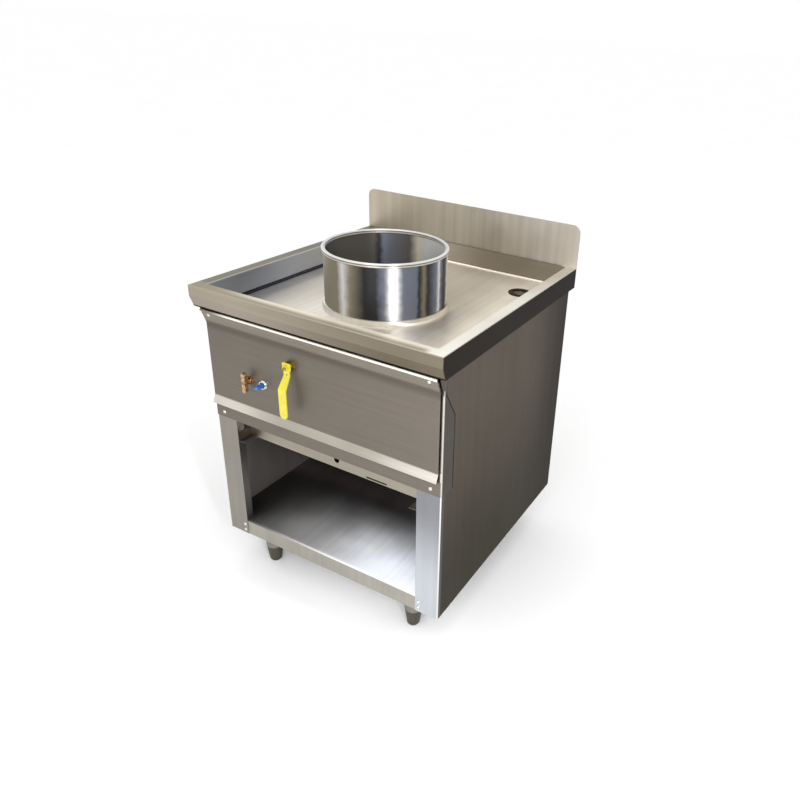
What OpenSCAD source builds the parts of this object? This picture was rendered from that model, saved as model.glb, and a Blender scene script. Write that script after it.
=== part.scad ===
// Free-standing single wok burner: a stainless cabinet with an open shelf, a sunken worktop,
// a loose wok ring over a conical hearth, and a gas train worked from the control panel.
// Millimetres. The origin is on the floor under the middle of the unit, +Z up, front towards -Y.

/* [Overall size] */
// Width of the worktop
unit_w = 800; // [760:5:900]
// Depth from the front nose to the back of the splashback
unit_d = 800; // [780:5:900]
// Height of the worktop rim above the floor
rim_z = 940; // [900:5:980]
// Height of the splashback above the rim
splash_h = 134; // [90:1:180]
// Radius of the splashback's upper corners
splash_corner_r = 24; // [10:1:40]

/* [Sheet metal] */
// Thickness of the folded sheet
sheet_t = 1.5; // [1.2:0.1:2]
// Thickness of the splashback plate
splash_t = 2; // [1.5:0.5:3]
// Outside radius of an ordinary fold
fold_r = 3; // [2.5:0.5:4]
// Outside radius of the upright folds at the cabinet's front corners
corner_r = 5; // [4:0.5:5.5]

/* [Worktop] */
// Width of the flat land round the sunken deck
rim_land = 35; // [32:1:40]
// Width of the land in front of the splashback
rear_land = 8; // [6:1:20]
// Depth of the deck below the rim
deck_drop = 68; // [60:1:76]
// Height of the skirt round the worktop
skirt_h = 64; // [58:1:70]
// Height of the upright part of the front nose
nose_h = 32; // [24:1:38]
// Set-back of the nose's lower edge
nose_set = 12; // [8:1:13]
// Radius of the soft bend between the upright nose and its lower slope
nose_r = 10; // [6:1:14]
// Width of the lip turned in under the skirt
skirt_lip = 10; // [8:1:11]
// Distance of the burner axis behind the front nose
burner_y = 342; // [330:1:380]
// Radius of the burner opening in the deck
opening_r = 163; // [155:1:170]
// Height of the raised seat round the burner opening
seat_h = 15; // [8:1:20]
// How far the seat reaches out beyond the wok ring
seat_out = 8; // [4:1:12]
// Height of the collar that keeps the wok ring on its seat
collar_h = 12; // [6:1:16]

/* [Wok ring] */
// Height of the ring above its seat
ring_h = 158; // [120:1:180]
// Thickness of the ring's wall
ring_wall = 3; // [2:0.5:5]
// Radius of the rolled top edge
ring_bead_r = 6; // [5:0.5:8]
// How far the rolled edge stands out from the wall
ring_bead_out = 5; // [3:0.5:6]
// Gap between the ring and the collar inside it
ring_clear = 4.5; // [2:0.5:8]

/* [Hearth and burner] */
// Depth of the hearth below the deck
hearth_h = 130; // [120:1:150]
// Radius of the hearth's floor
hearth_floor_r = 108; // [104:1:120]
// Radius of the air opening in the hearth's floor
hearth_open_r = 82; // [78:1:90]
// Thickness of the hearth's wall
hearth_t = 2; // [1.5:0.5:3]
// Width of the flange that carries the hearth under the deck
hearth_flange = 14; // [10:1:20]
// Outside radius of the burner bowl at its rim
bowl_r = 58; // [50:1:60]
// Height of the burner bowl above its seat
bowl_h = 40; // [34:1:46]
// Outside radius of the burner's neck
neck_r = 25; // [23:1:27]
// Inside radius of the burner's neck
neck_bore_r = 18; // [15:1:20]
// Number of flame ports round the crown
crown_ports = 20; // [12:1:28]
// Length of the mixing tube
mix_len = 100; // [90:1:115]
// Radius of the mixing tube's throat
throat_r = 14; // [11:1:16]
// Outside radius of the mixing tube's air box
airbox_r = 30; // [28:1:34]

/* [Cabinet] */
// Set-back of the cabinet's sides from the worktop's edge
cab_inset = 15; // [14:1:20]
// Height of the cabinet's lower edge above the floor
cab_z = 122; // [100:1:150]
// Distance of the corner posts behind the front nose
post_y = 35; // [34:1:40]
// Width of a corner post
post_w = 72; // [60:1:90]
// Depth of the flange turned back from a post
post_return = 25; // [18:1:35]
// Depth of the leg turned back along a post's outer side
post_leg = 14; // [10:1:20]
// Height of the shelf's front lip
shelf_lip = 52; // [44:1:60]
// Height of the lower screws in the shelf's lip above its edge
shelf_screw_up = 13; // [10:1:16]
// Step between the two screws at each end of the lip
shelf_screw_step = 20; // [16:1:24]
// Radius of the fold along the top of that lip
lip_fold_r = 6; // [4:0.5:8]
// Set-back of the rear edges of the sides
side_rear_gap = 8; // [6:1:20]
// Set-back of the back panel, which leaves room for the gas connection
back_set = 45; // [42:1:60]
// Height of the stiffeners under the deck
bearer_h = 40; // [30:1:50]
// Width of those stiffeners
bearer_w = 30; // [24:1:36]
// Gap between those stiffeners and the hearth's flange
bearer_gap = 30; // [20:1:34]

/* [Control panel] */
// Distance of the panel's face behind the front nose
panel_y = 28; // [26:1:29]
// Distance of the panel's upper edge behind the front nose
strip_y = 13; // [12:1:18]
// Radius of the rolled hem along that edge
hem_r = 3.5; // [2.5:0.5:4.5]
// Gap between the hem and the worktop above it
hem_gap = 3.5; // [2:0.5:6]
// Height of the sloping strip along the top of the panel
strip_h = 48; // [42:1:56]
// Radius of the soft bend between the strip and the face
strip_r = 14; // [6:1:20]
// Height of the upright face of the panel
face_h = 225; // [215:1:240]
// Height of the flared band along the bottom
band_h = 25; // [20:1:32]
// How far the band flares forward
band_out = 10; // [8:1:14]
// Height of the fixing flange below the band
flange_h = 46; // [38:1:50]
// Distance of the panel's ends from the outside of its cheeks
end_gap = 8; // [7:0.5:12]
// Width of the narrow front flange of a cheek
cheek_front = 6; // [5.5:0.5:6.5]
// Depth of the cheeks turned back along the sides
cheek_w = 54; // [48:1:75]
// Height of a cheek's front above the fold of the strip
cheek_top = 7; // [0:1:20]
// Depth of a cheek's clipped rear corner below that fold
cheek_clip = 80; // [50:1:90]
// Distance of the upper panel screws down the strip
strip_screw_down = 12; // [11:1:26]
// Height of the lower panel screws above the flange's edge
flange_screw_up = 17; // [12:1:24]

/* [Gas controls] */
// Sideways place of the main valve
valve_x = -82; // [-95:1:-75]
// Height of the main valve below the rim
valve_drop = 166; // [160:1:176]
// Length of the lever from its axis to its tip
lever_len = 142; // [130:1:150]
// Width of the lever's grip
lever_w = 26; // [20:1:28]
// Thickness of the lever
lever_t = 3; // [2.5:0.5:4]
// Distance of the pilot cock and the gas inlet from the cabinet's side
pilot_in = 153; // [140:1:160]
// Sideways distance from the pilot cock to the push-button igniter
igniter_step = 50; // [48:1:60]
// Height of the igniter and the pilot cock below the rim
small_drop = 250; // [240:1:258]
// Length of the pilot cock's wing
wing_len = 60; // [44:1:64]
// Radius of the igniter's button
button_r = 6.55; // [5.5:0.05:7]
// Travel of the igniter's button
button_travel = 5; // [3:0.5:6]

/* [Gas pipes] */
// Outside radius of the inlet pipe, three-quarter inch
inlet_r = 13.45; // [10.65:0.05:16.85]
// Outside radius of the pipe from the valve to the burner
feed_r = 11; // [9:0.5:12]
// Outside radius of the pilot tubes
tube_r = 3; // [2.5:0.5:4]
// Radius of the ignition lead
lead_r = 2.5; // [2:0.5:3]

/* [Drip tray] */
// Distance of the tray's front lip behind the front nose
tray_y = 80; // [72:1:100]
// Height of the tray's floor below the rim
tray_drop = 477; // [472:1:500]
// Height of the tray's front lip
tray_lip = 58; // [50:1:64]
// Height of the tray's walls
tray_wall = 42; // [30:1:48]
// Radius of the finger hole in the tray's lip
finger_r = 9; // [6:0.5:12]
// Sideways place of the finger hole
finger_x = 16; // [-40:1:40]
// Height of the finger hole above the tray's floor
finger_up = 25; // [20:1:40]

/* [Feet] */
// Sideways place of the feet
foot_x = 267; // [250:1:300]
// Distance of the front feet behind the front nose
foot_y = 97; // [90:1:130]
// Height of the lower ends of the leg tubes
leg_z = 60; // [50:1:80]
// Radius of a foot at its shoulder
foot_r = 25.5; // [24:0.5:27]
// Radius of a foot near the floor
foot_tip_r = 19; // [15:0.5:22]
// Radius of a foot's stem
stem_r = 22.95; // [20:0.05:23]

/* [Drain] */
// Sideways place of the deck drain
drain_x = 275; // [250:1:290]
// Distance of the drain behind the front nose
drain_y = 658; // [640:1:690]
// Outside radius of the drain's spigot
spigot_r = 20; // [16:0.5:22]
// Length of the spigot below the deck
spigot_len = 110; // [90:1:130]
// Radius of the drain's flange on the deck
drain_flange_r = 36; // [34:1:42]
// Length of the drain's threaded neck below the deck
drain_neck_len = 28; // [20:1:40]

/* [Clearances] */
// Radial clearance of a turning or sliding piece
run_clear = 0.05; // [0.03:0.01:0.1]
// Gap between pieces that move past each other
rest_gap = 0.3; // [0.2:0.1:0.5]
// Radial clearance of a fixed piece in its hole
hole_clear = 0.3; // [0.2:0.1:0.5]

/* [Hidden] */
$fn = 64;
half_w = unit_w / 2;
front = -unit_d / 2;
rear = unit_d / 2;
worktop_rear = rear - splash_t;

// Worktop levels and the faces of its sunken pan
deck_z = rim_z - deck_drop;
deck_under = deck_z - sheet_t;
skirt_z = rim_z - skirt_h;
pan_x = half_w - rim_land;
pan_front = front + rim_land;
pan_rear = worktop_rear - rear_land;
axis_y = front + burner_y;

// Cabinet faces
cab_x = half_w - cab_inset;
cab_in = cab_x - sheet_t;
post_corner_r = corner_r - 0.5;
corner_relief = post_corner_r - sheet_t + hole_clear;
post_front = front + post_y;
post_in = cab_in - post_w;
side_rear = rear - side_rear_gap;
back_y = rear - back_set;
back_in = back_y - sheet_t;
shelf_z = cab_z + shelf_lip;

// Control panel levels
panel_front = front + panel_y;
panel_in = panel_front + sheet_t;
fold_z = skirt_z - strip_h;
band_top_z = fold_z - face_h;
band_low_z = band_top_z - band_h;
flange_low_z = band_low_z - flange_h;
hem_z = skirt_z - hem_gap - hem_r;
cheek_x = cab_x + sheet_t;
cheek_back = post_front + cheek_w;
panel_end = cheek_x - end_gap;

// Wok ring and hearth
collar_out_r = opening_r + sheet_t;
ring_in_r = collar_out_r + ring_clear;
ring_out_r = ring_in_r + ring_wall;
ring_seat_z = deck_z + seat_h;
hearth_top_r = opening_r - hearth_t;
hearth_low_z = deck_under - hearth_h;
spider_t = 8;
spider_z = hearth_low_z + hearth_t;
seat_z = spider_z + spider_t;
neck_drop = 30;
neck_low_z = seat_z - neck_drop;
bowl_top_z = seat_z + bowl_h;
bowl_wall = 8;
mix_low_z = neck_low_z - mix_len;
airbox_h = 30;
airbox_base_t = 4;
injector_r = 8;
injector_flange_r = 14;
injector_drop = 20;
injector_low_z = mix_low_z - injector_drop;

// Gas train axes
pilot_x = pilot_in - cab_x;
igniter_x = pilot_x + igniter_step;
valve_z = rim_z - valve_drop;
small_z = rim_z - small_drop;
valve_depth = 42;
valve_y = panel_front + valve_depth;
valve_len = 76;
valve_hex_r = 19;
bonnet_r = 9;
bonnet_front = panel_front - 12;
panel_nut_t = 6;
shaft_r = 5;
shaft_front = panel_front - 24;
lever_back = bonnet_front - rest_gap;
lever_front = lever_back - lever_t;
lever_standoff = 22;
lever_neck = 22;
lever_crank = 34;
lever_head_r = 14;
pipe_bend_r = 30;
feed_run_z = injector_low_z - pipe_bend_r - 4;
inlet_end_gap = 5;
inlet_thread_r = inlet_r - 0.25;
inlet_thread_len = 30;
inlet_wall = 2.4;
tee_y = front + 150;
tee_len = 18;
tube_bend_r = 14;
lead_bend_r = 12;

// Pilot flame and spark beside the burner crown, placed to whole millimetres
pilot_ring_r = 70;
pilot_angle = 250;
spark_angle = 232;
spark_ring_r = pilot_ring_r + 2;
pilot_pos = [round(pilot_ring_r * cos(pilot_angle)), axis_y + round(pilot_ring_r * sin(pilot_angle))];
spark_pos = [round(spark_ring_r * cos(spark_angle)), axis_y + round(spark_ring_r * sin(spark_angle))];
pilot_base_z = bowl_top_z - 27;
pilot_run_z = small_z - 32;
ceramic_r = 3.5;
spark_wire = 18;
ceramic_low_z = hearth_low_z - 34;
cock_r = 11;
cock_back = front + panel_y + 37;
cock_mid = panel_in + 20;
cock_neck_r = 7;
cock_front = panel_front - 10;
cock_stem_r = 3.5;
igniter_back = panel_in + 50;
terminal_len = 6;
igniter_neck_r = 8.7;
igniter_front = panel_front - 6;
button_front = panel_front - 32;
button_back = panel_in + 10;

// Drip tray and its runners
tray_front = front + tray_y;
tray_z = rim_z - tray_drop;
tray_clear = 1.5;
tray_half = post_in - sheet_t - tray_clear;
tray_back = back_in - 30;
runner_leg = 24;
runner_h = 26;

// Feet
foot_rear_y = back_y - 55;
socket_wall = 4;
socket_r = stem_r + run_clear + socket_wall;
socket_plate = 60;
socket_plate_t = 3;
shoulder_z = leg_z - rest_gap;

// Screws
screw_r = 2.4;
screw_head_r = 5.5;
screw_hole_r = screw_r + hole_clear;

// Folded sheet outlines
function unit(v) = v / norm(v);
function left(v) = [-v[1], v[0]];
function miter(a, b, c, t) =
    let (n1 = left(unit(b - a)), n2 = left(unit(c - b))) b + t * (n1 + n2) / (1 + n1 * n2);
function offset_path(p, t) = [for (i = [0 : len(p) - 1])
    i == 0 ? p[0] + t * left(unit(p[1] - p[0])) :
    i == len(p) - 1 ? p[i] + t * left(unit(p[i] - p[i - 1])) :
    miter(p[i - 1], p[i], p[i + 1], t)];
function reversed(p) = [for (i = [len(p) - 1 : -1 : 0]) p[i]];
function turn(d) = d > 180 ? d - 360 : d < -180 ? d + 360 : d;
function bend(a, b, c, r, n) =
    let (u1 = unit(a - b), u2 = unit(c - b), phi = acos(u1 * u2),
         mid = b + unit(u1 + u2) * r / sin(phi / 2),
         s = b + u1 * r / tan(phi / 2) - mid, e = b + u2 * r / tan(phi / 2) - mid,
         a1 = atan2(s[1], s[0]), sweep = turn(atan2(e[1], e[0]) - a1))
    [for (i = [0 : n]) mid + r * [cos(a1 + sweep * i / n), sin(a1 + sweep * i / n)]];
function round_path(p, r, n = 4) = concat([p[0]],
    [for (i = [1 : len(p) - 2]) each bend(p[i - 1], p[i], p[i + 1], r[i - 1], n)],
    [p[len(p) - 1]]);
function sheet_outline(p, t) = concat(p, reversed(offset_path(p, t)));

// Outlines in the YZ plane drawn along X, and in the XZ plane drawn along +Y
module along_x(x0, len) {
    translate([x0, 0, 0]) rotate([90, 0, 90]) linear_extrude(len) children();
}
module along_y(y0, len) {
    translate([0, y0 + len, 0]) rotate([90, 0, 0]) linear_extrude(len) children();
}
// A round bar along +Y
module bar_y(pos, y0, y1, r, sides = 64) {
    translate([pos[0], y0, pos[1]]) rotate([-90, 0, 0]) cylinder(h = y1 - y0, r = r, $fn = sides);
}
// A ring along +Y
module ring_y(pos, y0, y1, r_out, r_in, sides = 64) {
    difference() {
        bar_y(pos, y0, y1, r_out, sides);
        bar_y(pos, y0 - 1, y1 + 1, r_in);
    }
}
// A box given by its corners
module box(low, high) {
    translate(low) cube(high - low);
}

// A pipe along points that turn square corners
function square_to(d) = unit(cross(abs(d[2]) < 0.9 ? [0, 0, 1] : [1, 0, 0], d));
module in_frame(at, ex, ey, ez) {
    multmatrix([[ex[0], ey[0], ez[0], at[0]], [ex[1], ey[1], ez[1], at[1]],
                [ex[2], ey[2], ez[2], at[2]], [0, 0, 0, 1]]) children();
}
module pipe_run(p, r, bend_r) {
    last = len(p) - 1;
    for (i = [0 : last - 1]) {
        d = unit(p[i + 1] - p[i]);
        u = square_to(d);
        s = p[i] + (i == 0 ? 0 : bend_r) * d;
        e = p[i + 1] - (i == last - 1 ? 0 : bend_r) * d;
        in_frame(s, u, cross(d, u), d) cylinder(h = norm(e - s), r = r);
    }
    for (i = [1 : 1 : last - 1]) {
        d1 = unit(p[i] - p[i - 1]);
        d2 = unit(p[i + 1] - p[i]);
        in_frame(p[i] - bend_r * d1 + bend_r * d2, -d2, d1, cross(d1, d2))
            rotate_extrude(angle = 90) translate([bend_r, 0]) circle(r);
    }
}

// Worktop
function nose_path(inset) =
    let (p = round_path([[worktop_rear, rim_z], [front, rim_z], [front, rim_z - nose_h],
                         [front + nose_set, skirt_z]], [fold_r, nose_r]))
    inset == 0 ? p : offset_path(p, inset);
module nose_solid(inset, reach) {
    p = nose_path(inset);
    tip = p[len(p) - 1];
    along_x(-half_w, unit_w)
        polygon(concat(p, [[tip[0], tip[1] - reach], [worktop_rear - inset, tip[1] - reach],
                           [worktop_rear - inset, rim_z - inset]]));
}
module side_solid(inset, reach) {
    x = half_w - inset;
    top = rim_z - inset;
    p = round_path([[x, skirt_z - reach], [x, top], [-x, top], [-x, skirt_z - reach]],
                   [fold_r - inset, fold_r - inset]);
    along_y(front, worktop_rear - front) polygon(p);
}
module worktop_skirt() {
    difference() {
        intersection() {
            nose_solid(0, 0);
            side_solid(0, 0);
        }
        intersection() {
            nose_solid(sheet_t, 5);
            side_solid(sheet_t, 5);
        }
    }
    box([-half_w + sheet_t, front + nose_set, skirt_z],
        [half_w - sheet_t, front + nose_set + skirt_lip, skirt_z + sheet_t]);
    for (s = [-1, 1])
        translate([s * (half_w - sheet_t - skirt_lip / 2), (front + nose_set + worktop_rear) / 2,
                   skirt_z + sheet_t / 2])
            cube([skirt_lip, worktop_rear - front - nose_set, sheet_t], center = true);
}
// Room inside the rim, opened by a rounded fold where the land turns down
function pan_wall(face) =
    round_path([[face, deck_under - 1], [face, rim_z], [face - fold_r - 1, rim_z]], [fold_r]);
module pan_room() {
    left_wall = pan_wall(-pan_x);
    right_wall = reversed([for (p = left_wall) [-p[0], p[1]]]);
    above = [[0, rim_z + 5]];
    intersection() {
        along_y(front, unit_d) polygon(concat(left_wall, above, right_wall));
        along_x(-half_w, unit_w)
            polygon(concat(pan_wall(pan_front), above, [[pan_rear, rim_z + 1], [pan_rear, deck_under - 1]]));
    }
}
module worktop() {
    color([0.72, 0.70, 0.66]) difference() {
        union() {
            worktop_skirt();
            box([-pan_x - sheet_t, pan_front - sheet_t, deck_under],
                [pan_x + sheet_t, pan_rear + sheet_t, rim_z - sheet_t / 2]);
        }
        pan_room();
    }
}
module deck() {
    color([0.70, 0.67, 0.60]) {
        difference() {
            box([-pan_x, pan_front, deck_under], [pan_x, pan_rear, deck_z]);
            translate([0, axis_y, deck_under - 1]) cylinder(h = sheet_t + 2, r = opening_r, $fn = 128);
            translate([drain_x, front + drain_y, deck_under - 1])
                cylinder(h = sheet_t + 2, r = drain_neck_r + 1);
        }
        translate([0, axis_y, deck_z]) rotate_extrude($fn = 128)
            polygon([[opening_r, 0], [ring_out_r + seat_out, 0], [ring_out_r + seat_out - 3, seat_h],
                     [collar_out_r, seat_h], [collar_out_r, seat_h + collar_h],
                     [opening_r, seat_h + collar_h]]);
    }
}
module splashback() {
    r = splash_corner_r;
    top = rim_z + splash_h;
    color([0.75, 0.71, 0.64]) {
        box([-half_w, worktop_rear, skirt_z], [half_w, rear, top - r]);
        box([r - half_w, worktop_rear, skirt_z], [half_w - r, rear, top]);
        for (s = [-1, 1]) bar_y([s * (half_w - r), top - r], worktop_rear, rear, r);
    }
}
module wok_ring() {
    bead_z = ring_h - ring_bead_r;
    color([0.80, 0.79, 0.77]) translate([0, axis_y, ring_seat_z]) rotate_extrude($fn = 128) {
        translate([ring_in_r, rest_gap]) square([ring_wall, bead_z - rest_gap]);
        translate([ring_out_r + ring_bead_out - ring_bead_r, bead_z]) circle(ring_bead_r);
    }
}

// Hearth and burner, all round the burner axis
module hearth() {
    out_r = opening_r + hearth_flange;
    color([0.42, 0.39, 0.36]) translate([0, axis_y, deck_under]) rotate_extrude($fn = 96)
        polygon([[hearth_top_r, 0], [out_r, 0], [out_r, -hearth_t], [opening_r, -hearth_t],
                 [hearth_floor_r, -hearth_h], [hearth_open_r, -hearth_h],
                 [hearth_open_r, hearth_t - hearth_h],
                 [hearth_floor_r - hearth_t, hearth_t - hearth_h]]);
}
module burner_spider() {
    hub_in = neck_r + 4;
    hub_out = neck_r + 19;
    arm_w = 12;
    arm_out = hearth_floor_r - hearth_t - 3;
    color([0.23, 0.22, 0.22]) translate([0, axis_y, spider_z]) linear_extrude(spider_t) {
        difference() {
            circle(hub_out);
            circle(hub_in);
        }
        for (a = [90, 210, 330]) rotate(a)
            translate([hub_in + 4, -arm_w / 2]) square([arm_out - hub_in - 4, arm_w]);
    }
}
module burner_bowl() {
    flange_r = neck_r + 17;
    flange_t = 8;
    color([0.20, 0.20, 0.21]) translate([0, axis_y, seat_z]) rotate_extrude()
        polygon([[neck_bore_r, -neck_drop], [neck_r, -neck_drop], [neck_r, 0], [flange_r, 0],
                 [flange_r, flange_t], [bowl_r, bowl_h], [bowl_r - bowl_wall, bowl_h],
                 [flange_r - bowl_wall - 4, flange_t + 6], [neck_bore_r, flange_t]]);
}
module burner_crown() {
    wall_h = 14;
    top_h = 20;
    port_w = 3;
    port_h = 8;
    color([0.62, 0.47, 0.24]) translate([0, axis_y, bowl_top_z]) difference() {
        rotate_extrude()
            polygon([[bowl_r - bowl_wall, 0], [bowl_r, 0], [bowl_r, wall_h], [bowl_r - 8, top_h],
                     [12, top_h], [8, top_h - 5], [0, top_h - 5], [0, wall_h - 5],
                     [bowl_r - bowl_wall, wall_h - 5]]);
        for (i = [0 : crown_ports - 1]) rotate(i * 360 / crown_ports)
            translate([bowl_r - bowl_wall - 2, -port_w / 2, 0]) cube([bowl_wall + 4, port_w, port_h]);
    }
}
module mixing_tube() {
    wall = 3;
    flange_r = neck_r + 3;
    flange_t = 6;
    box_top = mix_low_z + airbox_base_t + airbox_h;
    window_w = 22;
    window_h = airbox_h - 14;
    color([0.30, 0.30, 0.31]) translate([0, axis_y, 0]) difference() {
        rotate_extrude()
            polygon([[neck_bore_r, neck_low_z], [flange_r, neck_low_z],
                     [flange_r, neck_low_z - flange_t], [neck_bore_r + wall, neck_low_z - flange_t],
                     [throat_r + wall, box_top + 18], [airbox_r, box_top],
                     [airbox_r, mix_low_z + airbox_base_t], [airbox_r + 5, mix_low_z + airbox_base_t],
                     [airbox_r + 5, mix_low_z], [injector_r + hole_clear, mix_low_z],
                     [injector_r + hole_clear, mix_low_z + airbox_base_t],
                     [airbox_r - wall, mix_low_z + airbox_base_t], [airbox_r - wall, box_top - wall],
                     [throat_r, box_top + 16]]);
        for (a = [45 : 90 : 315]) rotate(a)
            translate([airbox_r - 6, -window_w / 2, mix_low_z + airbox_base_t + 7])
                cube([12, window_w, window_h]);
    }
}
module air_shutter() {
    low = mix_low_z + airbox_base_t + rest_gap;
    high = mix_low_z + airbox_base_t + airbox_h - 1;
    window_w = 22;
    color([0.70, 0.70, 0.69]) translate([0, axis_y, 0]) difference() {
        translate([0, 0, low]) cylinder(h = high - low, r = airbox_r + 3);
        translate([0, 0, low - 1]) cylinder(h = high - low + 2, r = airbox_r + run_clear);
        for (a = [45 : 90 : 315]) rotate(a)
            translate([airbox_r - 3, -window_w / 2, low + 6.7]) cube([12, window_w, airbox_h - 14]);
    }
}
module injector() {
    tip = 14;
    color([0.72, 0.55, 0.26]) translate([0, axis_y, 0]) difference() {
        union() {
            translate([0, 0, mix_low_z - 12]) cylinder(h = 12, r = injector_flange_r, $fn = 6);
            translate([0, 0, injector_low_z]) cylinder(h = injector_drop - 12, r = feed_r);
            translate([0, 0, mix_low_z]) cylinder(h = tip, r = injector_r);
            translate([0, 0, mix_low_z + tip]) cylinder(h = 6, r1 = injector_r, r2 = 3);
        }
        translate([0, 0, mix_low_z - 5]) cylinder(h = tip + 12, r = 1.5);
    }
}

// Gas train
module feed_pipe() {
    start_x = valve_x + valve_len / 2;
    color([0.55, 0.54, 0.52])
        pipe_run([[start_x, valve_y, valve_z], [0, valve_y, valve_z], [0, valve_y, feed_run_z],
                  [0, axis_y, feed_run_z], [0, axis_y, injector_low_z]], feed_r, pipe_bend_r);
}
module inlet_pipe() {
    end_y = rear - inlet_end_gap;
    thread_y = end_y - inlet_thread_len;
    bore_depth = 60;
    color([0.58, 0.57, 0.55]) difference() {
        union() {
            pipe_run([[valve_x - valve_len / 2, valve_y, valve_z], [pilot_x, valve_y, valve_z],
                      [pilot_x, thread_y, valve_z]], inlet_r, pipe_bend_r + 10);
            bar_y([pilot_x, valve_z], thread_y - 1, end_y, inlet_thread_r);
            translate([pilot_x, tee_y, valve_z - tee_len]) cylinder(h = tee_len, r = tube_r + 3);
        }
        bar_y([pilot_x, valve_z], end_y - bore_depth, end_y + 1, inlet_thread_r - inlet_wall);
    }
}
module valve_body() {
    hex_len = 18;
    barrel_r = 17.5;
    pipe_r = 14;
    reach = valve_len / 2 - 1;
    color([0.74, 0.60, 0.32]) difference() {
        union() {
            translate([valve_x, valve_y, valve_z]) rotate([0, 90, 0]) {
                rotate_extrude()
                    polygon([[0, -reach], [pipe_r, -reach], [pipe_r, -20], [barrel_r, -12], [barrel_r, 12],
                             [pipe_r, 20], [pipe_r, reach], [0, reach]]);
                for (s = [-1, 1]) translate([0, 0, s * (valve_len - hex_len) / 2])
                    cylinder(h = hex_len, r = valve_hex_r, center = true, $fn = 6);
            }
            bar_y([valve_x, valve_z], bonnet_front, valve_y - 4, bonnet_r);
            bar_y([valve_x, valve_z], panel_in, valve_y - 6, bonnet_r + 2.5);
        }
        bar_y([valve_x, valve_z], bonnet_front - 1, valve_y - 8, shaft_r + run_clear);
    }
}
module valve_panel_nut() {
    color([0.74, 0.60, 0.32])
        ring_y([valve_x, valve_z], panel_front - panel_nut_t, panel_front, bonnet_r + 6,
               bonnet_r + hole_clear, 6);
}
module valve_stem() {
    color([0.76, 0.66, 0.44]) bar_y([valve_x, valve_z], shaft_front, valve_y - 9, shaft_r);
}
module valve_lever() {
    crank_y = lever_front - lever_standoff;
    side = round_path([[lever_front, valve_z + 2 * lever_head_r], [lever_front, valve_z - lever_neck],
                       [crank_y, valve_z - lever_neck - lever_crank],
                       [crank_y, valve_z - lever_len - 1]], [6, 6]);
    tip_r = lever_w / 2;
    neck_w = 20;
    ear_r = 6;
    color([0.95, 0.86, 0.20]) difference() {
        intersection() {
            along_x(valve_x - 30, 60) polygon(sheet_outline(side, lever_t));
            union() {
                bar_y([valve_x, valve_z], crank_y - 10, lever_back + 10, lever_head_r);
                for (a = [45, 135])
                    bar_y([valve_x, valve_z] + (lever_head_r - 2) * [cos(a), sin(a)], crank_y - 10,
                          lever_back + 10, ear_r);
                bar_y([valve_x, valve_z + tip_r - lever_len], crank_y - 10, lever_back + 10, tip_r);
                along_y(crank_y - 10, lever_back - crank_y + 20) translate([valve_x, valve_z])
                    polygon([[-neck_w / 2, 0], [neck_w / 2, 0], [neck_w / 2, -lever_neck],
                             [tip_r, -lever_neck - lever_crank], [tip_r, tip_r - lever_len],
                             [-tip_r, tip_r - lever_len], [-tip_r, -lever_neck - lever_crank],
                             [-neck_w / 2, -lever_neck]]);
            }
        }
        bar_y([valve_x, valve_z], lever_front - 1, lever_back + 1, shaft_r + hole_clear);
        bar_y([valve_x, valve_z - lever_neck + 3], lever_front - 1, lever_back + 1, 2.8);
    }
}
module lever_nut() {
    color([0.80, 0.79, 0.76])
        ring_y([valve_x, valve_z], lever_front - 6, lever_front, shaft_r + 4.5,
               shaft_r + hole_clear, 6);
}
module pilot_cock_body() {
    color([0.74, 0.58, 0.28]) difference() {
        union() {
            bar_y([pilot_x, small_z], panel_in, cock_back, cock_r);
            bar_y([pilot_x, small_z], cock_front, cock_back, cock_neck_r);
            translate([pilot_x, cock_mid, small_z - cock_r - 4]) cylinder(h = cock_r, r = tube_r + 3);
        }
        bar_y([pilot_x, small_z], cock_front - 1, panel_in + 12, cock_stem_r + run_clear);
    }
}
module pilot_cock_nut() {
    color([0.74, 0.58, 0.28])
        ring_y([pilot_x, small_z], panel_front - 6, panel_front, cock_neck_r + 5,
               cock_neck_r + hole_clear, 6);
}
module pilot_cock_wing() {
    hub_r = 9;
    hub_back = cock_front - rest_gap;
    hub_front = hub_back - 13;
    lobe_r = 8;
    lobe_t = 10;
    waist = 5;
    arm = wing_len / 2 - lobe_r;
    color([0.78, 0.62, 0.32]) {
        bar_y([pilot_x, small_z], hub_front, hub_back, hub_r);
        bar_y([pilot_x, small_z], hub_back - 1, panel_in + 10, cock_stem_r);
        for (s = [-1, 1]) bar_y([pilot_x, small_z + s * arm], hub_front - 3, hub_front - 3 + lobe_t, lobe_r);
        along_y(hub_front - 3, lobe_t) translate([pilot_x, small_z])
            polygon([[-waist, 0], [-lobe_r, arm], [lobe_r, arm], [waist, 0], [lobe_r, -arm],
                     [-lobe_r, -arm]]);
    }
}
module pilot_supply_tube() {
    color([0.72, 0.45, 0.30])
        pipe_run([[pilot_x, tee_y, valve_z - tee_len], [pilot_x, tee_y, small_z],
                  [pilot_x, cock_back, small_z]], tube_r, tube_bend_r);
}
module pilot_tube() {
    color([0.72, 0.45, 0.30])
        pipe_run([[pilot_x, cock_mid, small_z - cock_r - 4], [pilot_x, cock_mid, pilot_run_z],
                  [pilot_x, pilot_pos[1], pilot_run_z], [pilot_pos[0], pilot_pos[1], pilot_run_z],
                  [pilot_pos[0], pilot_pos[1], pilot_base_z]], tube_r, tube_bend_r);
}
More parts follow.
